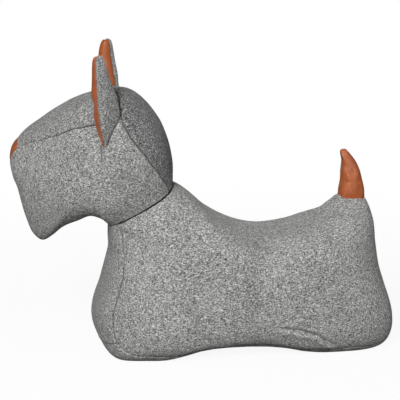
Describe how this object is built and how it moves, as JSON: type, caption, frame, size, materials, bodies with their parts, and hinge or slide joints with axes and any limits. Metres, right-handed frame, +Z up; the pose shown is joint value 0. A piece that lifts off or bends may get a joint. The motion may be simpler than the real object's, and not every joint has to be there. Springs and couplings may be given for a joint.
{
  "type": "door stop",
  "caption": "Weighted stuffed door stop shaped like a standing terrier, in heathered grey felt with leather-look ears, nose and tail.",
  "frame": {"origin": "middle of the footprint, on the floor", "axes": "+Z up, -X towards the nose, -Y towards the dog's side seen in the picture"},
  "size_m": [0.332, 0.116, 0.2685],
  "materials": {
    "felt": "heathered grey wool felt",
    "leather": "cognac brown, soft sheen",
    "wadding": "white polyester wadding",
    "cotton": "plain cotton bag filled with sand"
  },
  "bodies": {
    "root": {"body_side_left": "felt", "body_side_right": "felt", "chest_gusset": "felt", "base_panel": "felt", "body_filling": "wadding", "ballast_bag": "cotton", "head_side_left": "felt", "head_side_right": "felt", "head_crown_gusset": "felt", "head_back_panel": "felt", "head_filling": "wadding", "nose_patch": "leather", "ear_left_back": "felt", "ear_left_lining": "leather", "ear_left_wadding": "wadding", "ear_right_back": "felt", "ear_right_lining": "leather", "ear_right_wadding": "wadding", "tail_left": "leather", "tail_right": "leather", "tail_filling": "wadding"}
  },
  "joints": []
}
